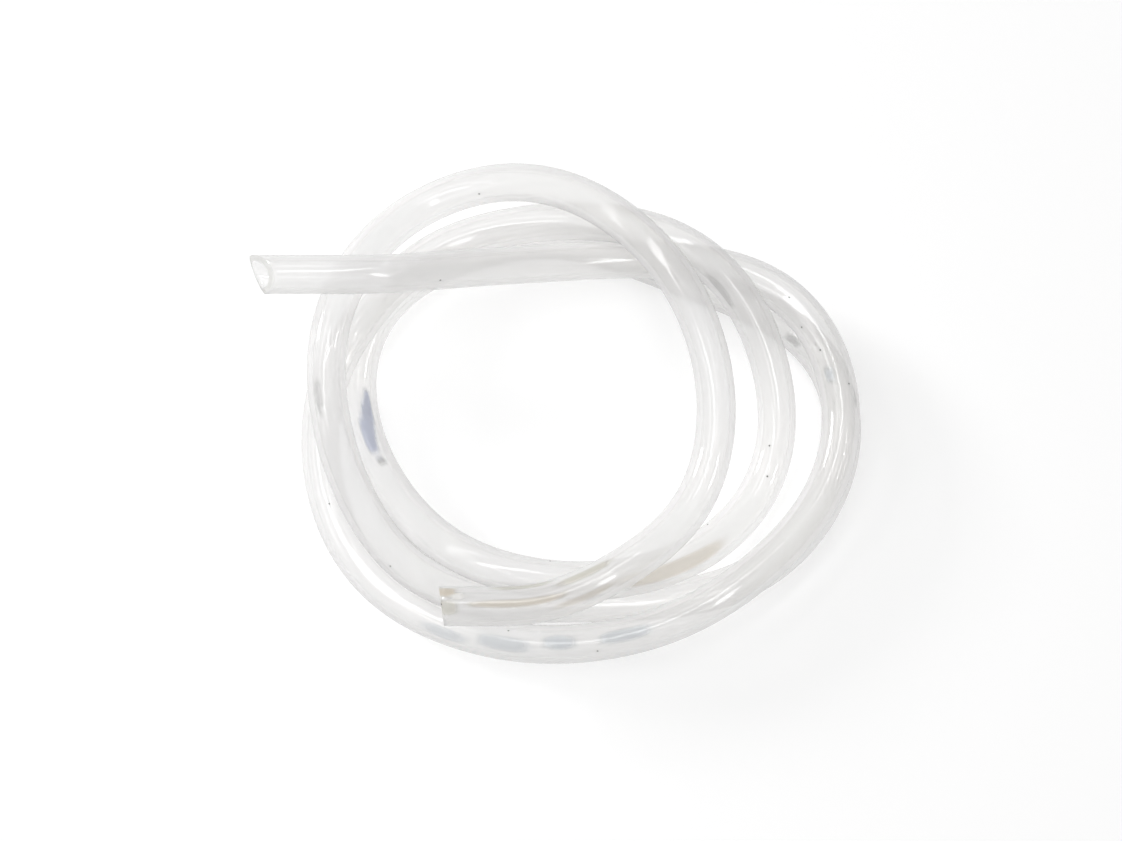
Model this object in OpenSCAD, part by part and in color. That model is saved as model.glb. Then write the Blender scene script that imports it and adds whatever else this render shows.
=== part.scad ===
// A length of clear silicone tube in a loose coil.
//
// The tube is one piece. It runs three and a half turns, crosses over itself at the back of
// the coil and lies on a flat surface at z = 0. Both ends are bare and bored through.
// The run between the ends is swept along a smooth curve; each end is a true cylinder
// with a true bore, so a hose barb or a rod seats in it.

/* [Tube] */
// Outside diameter of the tube
tube_od = 7; // [5.8:0.1:7.4]
// Diameter of the bore
tube_bore = 5; // [3:0.1:6]

/* [Upper end] */
// Straight length, from the middle of the mouth to the start of the first bend
upper_end_len = 12.5; // [8:0.5:20]
// Turn of the scissor cut, seen from above
upper_cut_turn = 24; // [0:1:35]
// Slope of the cut across the top half of the mouth
upper_cut_top = 36; // [0:1:45]
// Slope of the cut across the under half of the mouth
upper_cut_under = 8; // [0:1:20]

/* [Lower end] */
// Straight length, from the middle of the mouth to the end of the last bend
lower_end_len = 8; // [6:0.5:14]
// Turn of the nearly square cut, seen from above
lower_cut_turn = 8; // [0:1:20]

/* [Sweep] */
// Flat sides around the swept run
tube_sides = 12; // [8:1:12]
// Rings along the swept run
ring_count = 78; // [60:1:80]

/* [Hidden] */
$fn = 96;

// How far each bored end reaches into the swept run
end_lap = 0.2;
// How far the swept run's corners stay inside the round surface of the ends
facet_inset = 0.02;
// Side of the blocks that cut the mouths
cut_block = 24;

// The route of the tube's centre. Each point is [x, y, rise]: rise is the height above
// the lowest strand, whose centre is one tube radius above the surface.
route = [
    // upper end, then back over the crossings
    [-41.5, 21.5, 20], [-29.5, 21.5, 20], [-16, 25, 13.5], [-1.5, 27.5, 8.5],
    [13.5, 29, 7], [29.5, 28, 7],
    // outer turn: right side, front, left side
    [42, 23, 7], [50, 12, 7], [52.5, -3, 7.5], [48.5, -16.5, 7.5], [39.5, -27.5, 7.5],
    [27, -37, 7], [13, -42, 4], [-3.5, -43, 0.5], [-18.5, -40, 0], [-32.5, -33, 0],
    [-41.5, -20.5, 0.5], [-44.5, -5, 2.5], [-42, 8, 6.5], [-34.5, 20, 7.5],
    // second turn: back, middle of the right side, front, inner left side
    [-23.5, 31, 7], [-9.5, 35.5, 7], [5.5, 35.5, 10.5], [20.5, 31.5, 15], [32.5, 22.5, 13.5],
    [39.5, 9.5, 6], [41, -5, 2], [35.5, -18, 1.5], [24.5, -27.5, 4], [10.5, -32.5, 8],
    [-5, -32.5, 10], [-19.5, -27.5, 9], [-30, -16, 3], [-37, -2, 0],
    // third turn: under the crossings, under the outer turn, front, left side
    [-38, 13, 0], [-31, 25.5, 0], [-16.5, 33, 0], [-1.5, 36, 0], [12.5, 32, 0],
    [26.5, 26, 0], [42, 20, 0], [52.5, 8.5, 0], [53, -8, 0], [45.5, -22.5, 0],
    [33, -32, 0], [17.5, -34.5, 0], [2, -35, 2], [-13.5, -35.5, 4], [-27, -30.5, 5.5],
    [-36, -19, 7], [-41.5, -4.5, 11.5], [-42.5, 10.5, 14.5], [-38.5, 25, 12],
    // last half turn: back, over every other strand, inner right side, lower end
    [-29, 37.5, 7.5], [-15, 43.5, 8.5], [-1.5, 41, 15.5], [10.5, 33.5, 20],
    [21.5, 22.5, 20], [28, 8, 16.5], [29, -7.5, 14], [24, -21.5, 13.5],
    [12.5, -31.5, 16.5], [-1.5, -38, 14.5], [-12.5, -38, 14.5]
];

last = len(route) - 1;
outer_r = tube_od / 2;
bore_r = tube_bore / 2;
// Corner radii of the swept run: it fits inside the ends' outer surface and clears their bore
run_outer_r = outer_r - facet_inset;
run_bore_r = (bore_r + facet_inset) / cos(180 / tube_sides);

upper_mouth = centre_point(0) - [upper_end_len, 0, 0];
lower_mouth = centre_point(last) - [lower_end_len, 0, 0];

// A route point in space, and the points just past each end that keep the curve's ends straight
function centre_point(i) = [route[i].x, route[i].y, route[i].z + outer_r];
function control(i) =
    i < 0 ? 2 * centre_point(0) - centre_point(1)
    : i > last ? 2 * centre_point(last) - centre_point(last - 1)
    : centre_point(i);

// Uniform cubic B-spline between four neighbouring control points, and its direction
function curve(a, b, c, d, t) =
    (a * pow(1 - t, 3) + b * (3 * pow(t, 3) - 6 * t * t + 4)
    + c * (-3 * pow(t, 3) + 3 * t * t + 3 * t + 1) + d * pow(t, 3)) / 6;
function slope(a, b, c, d, t) =
    (c - a + 2 * t * (a - 2 * b + c) + t * t * (d - 3 * c + 3 * b - a)) / 2;
function unit(v) = v / norm(v);

// Centre and heading at distance u along the route, counted in points
function span_of(u) = min(floor(u), last - 1);
function centre_at(u) =
    let (i = span_of(u))
    curve(control(i - 1), control(i), control(i + 1), control(i + 2), u - i);
function heading_at(u) =
    let (i = span_of(u))
    unit(slope(control(i - 1), control(i), control(i + 1), control(i + 2), u - i));

// One ring of corners square to the route
function ring(u, r) =
    let (
        centre = centre_at(u),
        ahead = heading_at(u),
        side = unit(cross(ahead, [0, 0, 1])),
        above = cross(side, ahead)
    )
    [for (k = [0 : tube_sides - 1])
        let (a = 360 * k / tube_sides)
        centre + r * (cos(a) * side + sin(a) * above)];

// Number of corner k on ring i of the outer skin (skin 0) or the bore (skin 1)
function corner(skin, i, k) =
    (skin * ring_count + i) * tube_sides + k % tube_sides;

// The bent run of the tube: an outer skin, a bore and a flat rim at each end
module swept_run() {
    stations = [for (i = [0 : ring_count - 1]) last * i / (ring_count - 1)];
    corners = [
        for (u = stations) each ring(u, run_outer_r),
        for (u = stations) each ring(u, run_bore_r)
    ];
    end = ring_count - 1;
    faces = [
        for (i = [0 : end - 1], k = [0 : tube_sides - 1]) each [
            [corner(0, i, k), corner(0, i, k + 1), corner(0, i + 1, k)],
            [corner(0, i, k + 1), corner(0, i + 1, k + 1), corner(0, i + 1, k)],
            [corner(1, i, k), corner(1, i + 1, k), corner(1, i, k + 1)],
            [corner(1, i, k + 1), corner(1, i + 1, k), corner(1, i + 1, k + 1)]
        ],
        for (k = [0 : tube_sides - 1]) each [
            [corner(0, 0, k), corner(1, 0, k), corner(1, 0, k + 1), corner(0, 0, k + 1)],
            [corner(0, end, k), corner(0, end, k + 1), corner(1, end, k + 1), corner(1, end, k)]
        ]
    ];
    polyhedron(points = corners, faces = faces, convexity = 12);
}

// A straight bored length whose axis runs along -x from the end of the run
module bored_end(joint, len) {
    reach = len + tube_od;
    translate(joint + [end_lap, 0, 0])
        rotate([0, -90, 0])
            difference() {
                cylinder(r = outer_r, h = reach + end_lap);
                translate([0, 0, -1])
                    cylinder(r = bore_r, h = reach + end_lap + 2);
            }
}

// Takes away all that lies beyond a plane through the middle of a mouth
module mouth_cut(mouth, turn, tilt) {
    translate(mouth)
        rotate([0, 0, turn])
            rotate([0, tilt, 0])
                translate([-cut_block, -cut_block / 2, -cut_block / 2])
                    cube(cut_block);
}

module tubing() {
    color([0.92, 0.93, 0.92, 0.6])
        union() {
            swept_run();
            difference() {
                bored_end(centre_point(0), upper_end_len);
                mouth_cut(upper_mouth, upper_cut_turn, upper_cut_top);
                mouth_cut(upper_mouth, upper_cut_turn, upper_cut_under);
            }
            difference() {
                bored_end(centre_point(last), lower_end_len);
                mouth_cut(lower_mouth, lower_cut_turn, 0);
            }
        }
}

tubing();
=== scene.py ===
"""Looks of the clear silicone tube: one hollow tube along the CAD route, on a white studio floor."""
from math import cos, radians, sin, tan

import bpy
import numpy as np
from mathutils import Matrix, Vector


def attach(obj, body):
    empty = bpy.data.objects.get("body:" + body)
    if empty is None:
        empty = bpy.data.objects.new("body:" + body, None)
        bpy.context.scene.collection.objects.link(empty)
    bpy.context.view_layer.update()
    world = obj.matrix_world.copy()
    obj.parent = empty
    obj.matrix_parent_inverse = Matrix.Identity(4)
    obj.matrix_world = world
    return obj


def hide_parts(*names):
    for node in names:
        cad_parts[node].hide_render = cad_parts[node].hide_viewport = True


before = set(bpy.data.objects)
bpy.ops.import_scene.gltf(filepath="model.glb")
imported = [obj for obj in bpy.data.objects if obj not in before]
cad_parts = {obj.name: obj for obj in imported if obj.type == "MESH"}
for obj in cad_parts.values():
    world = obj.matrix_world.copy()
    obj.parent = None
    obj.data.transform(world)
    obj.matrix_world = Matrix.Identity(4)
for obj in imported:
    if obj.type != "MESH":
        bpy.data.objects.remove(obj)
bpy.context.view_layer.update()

scene = bpy.context.scene
MM = 0.001


def show(new_object):
    """Puts a new object in the scene."""
    scene.collection.objects.link(new_object)


# ---------------------------------------------------------------- camera
CAMERA_TARGET = Vector((0.5, -1.5, 8.0)) * MM
CAMERA_DISTANCE = 485 * MM
CAMERA_ELEVATION = radians(75)
LENS = 85
SENSOR_WIDTH = 36

camera_data = bpy.data.cameras.new("camera")
camera_data.lens = LENS
camera_data.sensor_width = SENSOR_WIDTH
camera = bpy.data.objects.new("camera", camera_data)
towards_camera = Vector((0, -cos(CAMERA_ELEVATION), sin(CAMERA_ELEVATION)))
camera.location = CAMERA_TARGET + CAMERA_DISTANCE * towards_camera
camera.rotation_euler = (radians(90) - CAMERA_ELEVATION, 0, 0)
show(camera)
scene.camera = camera

# ---------------------------------------------------------------- tube, the one free cord
# Sizes in mm and turns in degrees, as in the CAD source
TUBE_OD = 7.0
TUBE_BORE = 5.0
UPPER_END_LEN = 12.5
UPPER_CUT_TURN, UPPER_CUT_TOP, UPPER_CUT_UNDER = 24, 36, 8
LOWER_END_LEN = 8.0
LOWER_CUT_TURN = 8

# How finely the skins are meshed
SIDES = 64
RING_STEP = 1.5
UPPER_END_RINGS, LOWER_END_RINGS = 10, 7
SPLINE_STEPS = 24

# The route's points, [x, y, rise] in mm: rise is the centre's height above the lowest strand's
ROUTE = [
    # upper end, then back over the crossings
    [-41.5, 21.5, 20], [-29.5, 21.5, 20], [-16, 25, 13.5], [-1.5, 27.5, 8.5],
    [13.5, 29, 7], [29.5, 28, 7],
    # outer turn: right side, front, left side
    [42, 23, 7], [50, 12, 7], [52.5, -3, 7.5], [48.5, -16.5, 7.5], [39.5, -27.5, 7.5],
    [27, -37, 7], [13, -42, 4], [-3.5, -43, 0.5], [-18.5, -40, 0], [-32.5, -33, 0],
    [-41.5, -20.5, 0.5], [-44.5, -5, 2.5], [-42, 8, 6.5], [-34.5, 20, 7.5],
    # second turn: back, middle of the right side, front, inner left side
    [-23.5, 31, 7], [-9.5, 35.5, 7], [5.5, 35.5, 10.5], [20.5, 31.5, 15], [32.5, 22.5, 13.5],
    [39.5, 9.5, 6], [41, -5, 2], [35.5, -18, 1.5], [24.5, -27.5, 4], [10.5, -32.5, 8],
    [-5, -32.5, 10], [-19.5, -27.5, 9], [-30, -16, 3], [-37, -2, 0],
    # third turn: under the crossings, under the outer turn, front, left side
    [-38, 13, 0], [-31, 25.5, 0], [-16.5, 33, 0], [-1.5, 36, 0], [12.5, 32, 0],
    [26.5, 26, 0], [42, 20, 0], [52.5, 8.5, 0], [53, -8, 0], [45.5, -22.5, 0],
    [33, -32, 0], [17.5, -34.5, 0], [2, -35, 2], [-13.5, -35.5, 4], [-27, -30.5, 5.5],
    [-36, -19, 7], [-41.5, -4.5, 11.5], [-42.5, 10.5, 14.5], [-38.5, 25, 12],
    # last half turn: back, over every other strand, inner right side, lower end
    [-29, 37.5, 7.5], [-15, 43.5, 8.5], [-1.5, 41, 15.5], [10.5, 33.5, 20],
    [21.5, 22.5, 20], [28, 8, 16.5], [29, -7.5, 14], [24, -21.5, 13.5],
    [12.5, -31.5, 16.5], [-1.5, -38, 14.5], [-12.5, -38, 14.5],
]


def spline(points, per_span):
    """Uniform cubic B-spline, its ends kept straight, as in the CAD source."""
    p = np.array(points, float)
    p = np.vstack([2 * p[0] - p[1], p, 2 * p[-1] - p[-2]])
    curve = []
    for a, b, c, d in zip(p, p[1:], p[2:], p[3:]):
        for k in range(per_span):
            t = k / per_span
            curve.append((a * (1 - t) ** 3 + b * (3 * t ** 3 - 6 * t * t + 4)
                          + c * (-3 * t ** 3 + 3 * t * t + 3 * t + 1) + d * t ** 3) / 6)
    curve.append(p[-2])
    return np.array(curve)


def evenly(points, step):
    """The same line with its points a step apart, and the place of each, counted in route points."""
    gaps = np.linalg.norm(np.diff(points, axis=0), axis=1)
    along = np.concatenate([[0], np.cumsum(gaps)])
    count = int(round(along[-1] / step)) + 1
    at = np.linspace(0, along[-1], count)
    line = np.stack([np.interp(at, along, points[:, k]) for k in range(3)], -1)
    return line, np.interp(at, along, np.arange(len(points)) / SPLINE_STEPS)


def unit_rows(vectors):
    return vectors / np.linalg.norm(vectors, axis=1)[:, None]


centre_points = [[x, y, rise + TUBE_OD / 2] for x, y, rise in ROUTE]
centre, run_places = evenly(spline(centre_points, SPLINE_STEPS), RING_STEP)
upper_joint, lower_joint = centre[0], centre[-1]
ahead = unit_rows(np.gradient(centre, axis=0))
side = unit_rows(np.cross(ahead, [0, 0, 1]))
above = np.cross(side, ahead)
angle = np.linspace(0, 2 * np.pi, SIDES, endpoint=False)


def around(first, radius):
    """One circle about the centre line, square to it at the ring with this number."""
    return radius * (np.cos(angle)[:, None] * side[first] + np.sin(angle)[:, None] * above[first])


def upper_mouth_x(y, z):
    """Where the scissor cut crosses the upper end, from the middle of its mouth."""
    turn = radians(UPPER_CUT_TURN)
    slopes = [tan(radians(tilt)) / cos(turn) for tilt in (UPPER_CUT_TOP, UPPER_CUT_UNDER)]
    return -tan(turn) * y + np.maximum(slopes[0] * z, slopes[1] * z)


def lower_mouth_x(y, z):
    """Where the nearly square cut crosses the lower end."""
    return -tan(radians(LOWER_CUT_TURN)) * y


def end_rings(joint, length, first, mouth_x, radius, count):
    """Rings from the mouth to the joint, sheared so that the outermost lies in the cut."""
    across = around(first, radius)
    mouth = -length + mouth_x(across[:, 1], across[:, 2])
    rings = np.repeat((joint + across)[None], count, axis=0)
    rings[:, :, 0] = joint[0] + np.linspace(1, 0, count, endpoint=False)[:, None] * mouth
    return rings


def skin(radius):
    """All the rings of one skin, from the upper mouth to the lower one."""
    upper = end_rings(upper_joint, UPPER_END_LEN, 0, upper_mouth_x, radius, UPPER_END_RINGS)
    run = np.array([centre[i] + around(i, radius) for i in range(len(centre))])
    lower = end_rings(lower_joint, LOWER_END_LEN, -1, lower_mouth_x, radius, LOWER_END_RINGS)
    return np.concatenate([upper, run, lower[::-1]])


def quad(i, k, first, flip):
    """The face between rings i and i + 1 of a skin whose corners start at first."""
    after = (k + 1) % SIDES
    here, there = first + i * SIDES, first + (i + 1) * SIDES
    corners = (here + k, there + k, there + after, here + after)
    return corners[::-1] if flip else corners


outer, bore = skin(TUBE_OD / 2), skin(TUBE_BORE / 2)
last_ring = len(outer) - 1
bore_start = len(outer) * SIDES
verts = np.concatenate([outer.reshape(-1, 3), bore.reshape(-1, 3)]) * MM
outside_faces = [quad(i, k, 0, False) for i in range(last_ring) for k in range(SIDES)]
bore_faces = [quad(i, k, bore_start, True) for i in range(last_ring) for k in range(SIDES)]
cut_faces = []
end = last_ring * SIDES
for k in range(SIDES):
    after = (k + 1) % SIDES
    cut_faces.append((k, after, bore_start + after, bore_start + k))
    cut_faces.append((end + k, bore_start + end + k, bore_start + end + after, end + after))
faces = outside_faces + bore_faces + cut_faces

mesh = bpy.data.meshes.new("silicone_tube")
mesh.from_pydata(verts.tolist(), [], faces)
mesh.update()
# The tube's three materials, in their order on the mesh
OUTSIDE, BORE, CUT = range(3)
material_of_face = np.repeat([OUTSIDE, BORE, CUT], [len(outside_faces), len(bore_faces), len(cut_faces)])
mesh.polygons.foreach_set("use_smooth", material_of_face != CUT)
tube = bpy.data.objects.new("silicone_tube", mesh)
show(tube)


def straight(joint, length, count):
    """The centre line of a straight end, from its mouth to the joint."""
    return [joint - [length * t, 0, 0] for t in np.linspace(1, 0, count, endpoint=False)]


path = np.concatenate([
    straight(upper_joint, UPPER_END_LEN, UPPER_END_RINGS),
    centre,
    straight(lower_joint, LOWER_END_LEN, LOWER_END_RINGS)[::-1],
]) * MM

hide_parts("tubing")
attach(tube, "root")

# ---------------------------------------------------------------- marks on the outside of the tube
# Colours of the residue and scuffs
BLUE, SLATE, GREY = (0.48, 0.51, 0.61), (0.58, 0.62, 0.66), (0.48, 0.48, 0.48)
BROWN, OLIVE, PALE = (0.62, 0.54, 0.42), (0.64, 0.62, 0.52), (0.95, 0.94, 0.91)
# Each mark: its place in route points, its turn from the top of the tube in degrees (positive to
# the right as the route runs), half length and half width in mm, colour and share. A straight end
# counts as one more point, up to its mouth.
MARKS = [
    # blue stain and grey spot on the inner left strand
    (33.15, 30, 5, 0.8, BLUE, 0.85), (33, 20, 5, 1, BLUE, 0.85), (32.8, 8, 5, 1.2, BLUE, 0.9),
    (32.38, 14, 1.2, 0.9, GREY, 0.8),
    # scuff on the left side
    (50.35, -25, 3.5, 0.7, GREY, 0.4),
    # lower end: brown, olive and clear patches at the mouth, then two lines of residue
    (63.85, 35, 2, 1.3, BROWN, 0.7), (63.9, -15, 2.2, 1.5, OLIVE, 0.5), (63.6, 20, 1.5, 0.8, PALE, 0.7),
    (62.5, -5, 10, 0.8, BROWN, 0.55), (61.6, -35, 6, 0.7, BROWN, 0.35),
    (62.4, 55, 6.5, 0.9, OLIVE, 0.6), (61.5, 30, 6, 0.9, OLIVE, 0.6),
    # brown residue on the middle strand, front right
    (28.35, -25, 12, 1.6, BROWN, 0.45),
    # slate patches along the front strand
    (14.1, -35, 4.5, 1.2, SLATE, 0.45), (13.4, -20, 5.5, 1.5, SLATE, 0.5),
    (12.75, -5, 3, 1.5, SLATE, 0.65), (12, -5, 5.5, 1.3, SLATE, 0.6),
    # spots on the right side; painted shade, a dark streak along the middle strand's inner edge where it lies
    # over the strand beneath; scratch on the outer one
    (40.3, 40, 1.7, 0.9, GREY, 0.6), (7.4, 25, 1.6, 1, SLATE, 0.6),
    (23.95, 50, 4, 0.8, GREY, 0.5), (7.75, -45, 1.6, 0.4, GREY, 0.6),
]
# Above 1, a mark is solid across its middle and fades in a narrow band
MARK_FIRMNESS = 1.4
# Dust specks, scattered over the upper side of the tube
SPECK_COUNT = 24
SPECK_RADIUS = 0.17
SPECK_SEED = 23
UPPER_SIDE = 0.5  # least upward part of the outside's normal where a speck settles

places = np.concatenate([
    -np.linspace(1, 0, UPPER_END_RINGS, endpoint=False),
    run_places,
    len(ROUTE) - 1 + np.linspace(1, 0, LOWER_END_RINGS, endpoint=False)[::-1],
])
ring_gaps = np.linalg.norm(np.diff(path, axis=0), axis=1) / MM
distances = np.concatenate([[0], np.cumsum(ring_gaps)])
turn_from_top = 90 - np.degrees(angle)


def painted(marks):
    """For each corner of the outside, the share and the colour of the strongest mark there."""
    share = np.zeros((len(outer), SIDES))
    tone = np.full((len(outer), SIDES, 3), 0.5)
    for place, turn, half_length, half_width, colour, strength in marks:
        along = (distances - np.interp(place, places, distances)) / half_length
        off_degrees = (turn_from_top - turn + 180) % 360 - 180
        aside = np.radians(off_degrees) * TUBE_OD / 2 / half_width
        depth = 1 - abs(along[:, None]) ** 3 - abs(aside[None, :]) ** 3
        inside = np.clip(MARK_FIRMNESS * depth, 0, 1)
        here = inside * inside * (3 - 2 * inside) * strength
        tone[here > share] = colour
        share = np.maximum(share, here)
    return share.ravel(), tone.reshape(-1, 3)


stain_share = np.zeros(len(verts))
stain_tone = np.full((len(verts), 3), 0.5)
stain_share[:bore_start], stain_tone[:bore_start] = painted(MARKS)
mesh.attributes.new("stain_share", "FLOAT", "POINT").data.foreach_set("value", stain_share)
mesh.attributes.new("stain_tone", "FLOAT_VECTOR", "POINT").data.foreach_set("vector", stain_tone.ravel())

upward = (outer - outer.mean(axis=1, keepdims=True))[:, :, 2].ravel() > UPPER_SIDE * TUBE_OD / 2
settled = np.random.default_rng(SPECK_SEED).choice(np.flatnonzero(upward), SPECK_COUNT, replace=False)
specks = verts[settled]


# ---------------------------------------------------------------- materials
class Nodes:
    """A few short ways to add nodes to one material."""

    def __init__(self, name):
        self.material = bpy.data.materials.new(name)
        self.material.use_nodes = True
        self.tree = self.material.node_tree
        self.tree.nodes.clear()

    def add(self, kind, **values):
        """A node, with its own properties set."""
        node = self.tree.nodes.new("ShaderNode" + kind)
        for key, value in values.items():
            setattr(node, key, value)
        return node

    def put(self, socket, value):
        """Sets a socket to a value, or links it to another socket."""
        if isinstance(value, bpy.types.NodeSocket):
            self.tree.links.new(value, socket)
        elif socket.type == "RGBA":
            socket.default_value = (*value, 1)
        else:
            socket.default_value = value

    def math(self, operation, *values):
        node = self.add("Math", operation=operation)
        for socket, value in zip(node.inputs, values):
            self.put(socket, value)
        return node.outputs[0]

    def blend(self, factor, first, second):
        """Colour from first to second as factor goes from 0 to 1."""
        node = self.add("Mix", data_type="RGBA")
        self.put(node.inputs["Factor"], factor)
        for name, value in (("A", first), ("B", second)):
            self.put(next(s for s in node.inputs if s.name == name and s.type == "RGBA"), value)
        return next(s for s in node.outputs if s.type == "RGBA")

    def span(self, value, from_min, from_max, to_min=0.0, to_max=1.0):
        """A smooth step of value from one range to another."""
        node = self.add("MapRange", interpolation_type="SMOOTHSTEP")
        for socket, number in zip(node.inputs, (value, from_min, from_max, to_min, to_max)):
            self.put(socket, number)
        return node.outputs[0]

    def noise(self, scale, detail=2.0):
        node = self.add("TexNoise")
        node.inputs["Scale"].default_value = scale
        node.inputs["Detail"].default_value = detail
        self.put(node.inputs["Vector"], self.add("TexCoord").outputs["Object"])
        return node.outputs[0]

    def facing(self):
        """How far the surface turns from the view: 0 face on, 1 edge on."""
        node = self.add("LayerWeight")
        node.inputs["Blend"].default_value = 0.5
        return node.outputs["Facing"]

    def shader(self, kind, **values):
        node = self.add("Bsdf" + kind)
        for key, value in values.items():
            self.put(node.inputs[key], value)
        return node.outputs[0]

    def mix(self, factor, first, second):
        node = self.add("MixShader")
        for socket, value in zip(node.inputs, (factor, first, second)):
            self.put(socket, value)
        return node.outputs[0]

    def haze(self, colour, through):
        """Light scattered by the milky wall: back off it, and a share of it on through."""
        back = self.shader("Diffuse", Color=colour)
        onward = self.shader("Translucent", Color=colour)
        return self.mix(through, back, onward)

    def front_only(self, share):
        """A gloss kept on faces seen from outside, so nothing shines back into the wall."""
        back = self.add("NewGeometry").outputs["Backfacing"]
        return self.math("MULTIPLY", share, self.math("SUBTRACT", 1.0, back))

    def finish(self, surface):
        self.put(self.add("OutputMaterial").inputs["Surface"], surface)
        return self.material


SILICONE_IOR = 1.41
GLOSS_ROUGHNESS = 0.065
SPECK_COLOUR = (0.1, 0.1, 0.1)

# Haze of the outside: its colours from the clear middle to the outline, the turns from the view
# (0 face on, 1 edge on) where the edge and the rim set in, and the share that the haze covers.
# Towards the sides the thicker haze is partly the longer path through the wall and partly painted
# reflection: it stands in for the dark band that the wall's inner reflection gives there
CLEAR_COOL, CLEAR_WARM = (0.885, 0.882, 0.885), (0.885, 0.879, 0.872)
EDGE_COLOUR = (0.915, 0.91, 0.91)
RIM_COLOUR = (0.90, 0.893, 0.89)
EDGE_BAND = (0.22, 0.36)
RIM_BAND = (0.78, 0.98)
FACE_HAZE, EDGE_HAZE = 0.28, 0.52
CLOUD_HAZE = 0.04
STAIN_HAZE = 0.9
HAZE_THROUGH = 0.5
LAMP_PASS = 0.6  # the part of the haze that a lamp's light ignores on its way to what lies below
# Milky clouds and the soft waves of the surface: noise scales per metre, and the waves' size
CLOUD_SCALE, CLOUD_DETAIL = 30, 1.0
CLOUD_BAND = (0.35, 0.65)
WAVE_SCALE = 170
WAVE_STRENGTH, WAVE_HEIGHT = 0.25, 0.3
# Light that goes straight through is tinted at each skin, and more where the bore is seen edge on:
# that extra tint is partly the longer path through the wall and partly painted reflection, standing
# in for the dark line that the bore's inner reflection gives there
WALL_TINT = (0.972, 0.971, 0.969)
BORE_TINT = (0.995, 0.995, 0.994)
BORE_EDGE_TINT = (0.94, 0.938, 0.935)
BORE_EDGE_BAND = (0.55, 0.95)
BORE_SHINE = 0.03
# Cut faces: tones of the grain and how fine it is, share of frost, shine
CUT_DARK, CUT_PALE = (0.66, 0.66, 0.64), (0.84, 0.84, 0.82)
CUT_TINT = (0.97, 0.97, 0.96)
CUT_GRAIN_SCALE = 900
CUT_FROST, CUT_SHINE, CUT_ROUGHNESS = 0.6, 0.04, 0.4


def outside_material():
    """Clear milky silicone: light straight through, and a haze that thickens towards the tube's sides, partly
    with the longer path through the wall and partly as painted reflection of the wall's dark band there.
    """
    n = Nodes("silicone_outside")
    cloud = n.noise(CLOUD_SCALE, CLOUD_DETAIL)
    bump = n.add("Bump")
    bump.inputs["Strength"].default_value = WAVE_STRENGTH
    bump.inputs["Distance"].default_value = WAVE_HEIGHT * MM
    n.put(bump.inputs["Height"], n.noise(WAVE_SCALE))

    facing = n.facing()
    edge = n.span(facing, *EDGE_BAND)
    rim = n.span(facing, *RIM_BAND)

    here = n.add("TexCoord").outputs["Object"]
    speck = 0.0
    for point in specks:
        gap = n.add("VectorMath", operation="DISTANCE")
        n.put(gap.inputs[0], here)
        gap.inputs[1].default_value = point
        speck = n.math("MAXIMUM", speck, n.math("LESS_THAN", gap.outputs["Value"], SPECK_RADIUS * MM))
    stain = n.add("Attribute", attribute_name="stain_share").outputs["Fac"]
    tone = n.add("Attribute", attribute_name="stain_tone").outputs["Color"]

    colour = n.blend(n.span(cloud, *CLOUD_BAND), CLEAR_COOL, CLEAR_WARM)
    colour = n.blend(edge, colour, EDGE_COLOUR)
    colour = n.blend(rim, colour, RIM_COLOUR)
    colour = n.blend(stain, colour, tone)
    colour = n.blend(speck, colour, SPECK_COLOUR)
    through = n.blend(stain, WALL_TINT, tone)

    share = n.span(edge, 0.0, 1.0, FACE_HAZE, EDGE_HAZE)
    share = n.math("ADD", share, n.math("MULTIPLY", cloud, CLOUD_HAZE))
    share = n.math("MAXIMUM", share, n.math("MULTIPLY", stain, STAIN_HAZE))
    share = n.math("MAXIMUM", share, speck)
    lamp_share = n.math("MULTIPLY", n.add("LightPath").outputs["Is Shadow Ray"], LAMP_PASS)
    share = n.math("MULTIPLY", share, n.math("SUBTRACT", 1.0, lamp_share))

    body = n.mix(share, n.shader("Transparent", Color=through), n.haze(colour, HAZE_THROUGH))
    fresnel = n.add("Fresnel")
    fresnel.inputs["IOR"].default_value = SILICONE_IOR
    n.put(fresnel.inputs["Normal"], bump.outputs[0])
    gloss = n.shader("Glossy", Roughness=GLOSS_ROUGHNESS, Normal=bump.outputs[0])
    return n.finish(n.mix(n.front_only(fresnel.outputs[0]), body, gloss))


def bore_material():
    """The inner skin: clear, with a faint even shine, because its reflection is weaker than the outer one."""
    n = Nodes("silicone_bore")
    edge = n.span(n.facing(), *BORE_EDGE_BAND)
    clear = n.shader("Transparent", Color=n.blend(edge, BORE_TINT, BORE_EDGE_TINT))
    return n.finish(n.mix(n.front_only(BORE_SHINE), clear, n.shader("Glossy", Roughness=GLOSS_ROUGHNESS)))


def cut_material():
    """The scissor-cut faces: matt and a little frosted, with a fine grain."""
    n = Nodes("silicone_cut")
    colour = n.blend(n.noise(CUT_GRAIN_SCALE), CUT_DARK, CUT_PALE)
    body = n.mix(CUT_FROST, n.shader("Transparent", Color=CUT_TINT), n.haze(colour, HAZE_THROUGH))
    return n.finish(n.mix(n.front_only(CUT_SHINE), body, n.shader("Glossy", Roughness=CUT_ROUGHNESS)))


for material in (outside_material(), bore_material(), cut_material()):
    mesh.materials.append(material)
mesh.polygons.foreach_set("material_index", material_of_face.astype(np.int32))

# ---------------------------------------------------------------- floor
FLOOR_RADIUS = 6.0
FLOOR_SIDES = 96
PAPER = 0.6  # what the floor gives back to the object
PAPER_SEEN = 0.52  # the share of what the camera sees that keeps the shadow
PAPER_LIFT = 0.46  # the rest of it, plain white


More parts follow.
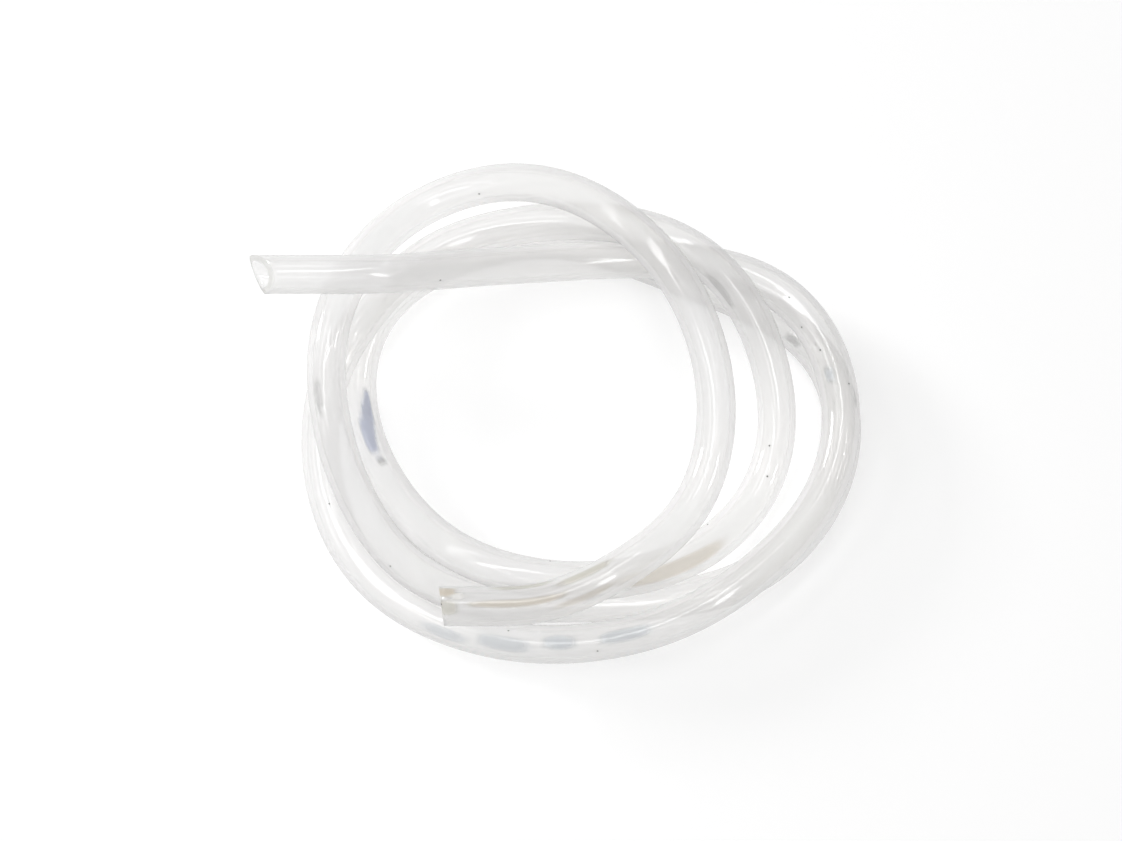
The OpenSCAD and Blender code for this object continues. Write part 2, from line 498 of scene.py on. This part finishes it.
def floor_material():
    """White paper: plain to the light, lifted to white for what the camera sees, and it keeps the shadow."""
    n = Nodes("studio_white")
    rays = n.add("LightPath").outputs
    seen = n.math("MAXIMUM", n.math("MAXIMUM", rays["Is Camera Ray"], rays["Is Glossy Ray"]),
                  rays["Is Transmission Ray"])
    paper = n.shader("Diffuse", Color=n.blend(seen, [PAPER] * 3, [PAPER_SEEN] * 3))
    lift = n.add("Emission")
    n.put(lift.inputs["Strength"], n.math("MULTIPLY", seen, PAPER_LIFT))
    both = n.add("AddShader")
    n.put(both.inputs[0], paper)
    n.put(both.inputs[1], lift.outputs[0])
    return n.finish(both.outputs[0])


bpy.ops.mesh.primitive_circle_add(vertices=FLOOR_SIDES, radius=FLOOR_RADIUS, fill_type="NGON")
floor = bpy.context.object
floor.name = "floor"
floor.data.materials.append(floor_material())

# ---------------------------------------------------------------- light
WORLD_LEVEL = 0.17  # what the object gets; the camera sees plain white

world = bpy.data.worlds.new("studio")
scene.world = world
world.use_nodes = True
nodes, links = world.node_tree.nodes, world.node_tree.links
nodes.clear()
backdrop = nodes.new("ShaderNodeBackground")
backdrop.inputs["Color"].default_value = (1, 1, 1, 1)
level = nodes.new("ShaderNodeMapRange")
level.inputs["To Min"].default_value = WORLD_LEVEL
level.inputs["To Max"].default_value = 1.0
links.new(nodes.new("ShaderNodeLightPath").outputs["Is Camera Ray"], level.inputs["Value"])
links.new(level.outputs[0], backdrop.inputs["Strength"])
links.new(backdrop.outputs[0], nodes.new("ShaderNodeOutputWorld").inputs["Surface"])


def softbox(name, at, width, height, power, long_side):
    """An area lamp that faces the coil, its width along a given direction, in metres and watts."""
    data = bpy.data.lights.new(name, "AREA")
    data.shape = "RECTANGLE"
    data.size, data.size_y = width, height
    data.energy = power
    lamp = bpy.data.objects.new(name, data)
    lamp.location = at
    back = (Vector(at) - CAMERA_TARGET).normalized()
    across = (Vector(long_side) - back * Vector(long_side).dot(back)).normalized()
    lamp.rotation_euler = Matrix((across, back.cross(across), back)).transposed().to_euler()
    show(lamp)


softbox("key", (-1.05, 0.6, 0.62), 0.35, 0.35, 12.0, (0, 1, 0))
softbox("overhead", (-0.17, 0.03, 0.95), 0.85, 0.11, 2.9, (0.7, 0.7, 0))
softbox("front", (0.23, -0.38, 0.9), 0.36, 0.14, 1.9, (0.45, -0.89, 0))
softbox("strip", (-0.48, 0.15, 0.81), 1.3, 0.1, 2.2, (0.63, 0.89, 0.2))

# ---------------------------------------------------------------- view and light paths
scene.view_settings.view_transform = "Standard"
scene.cycles.max_bounces = 24
scene.cycles.glossy_bounces = 6
scene.cycles.diffuse_bounces = 4
scene.cycles.transmission_bounces = 12
scene.cycles.transparent_max_bounces = 40
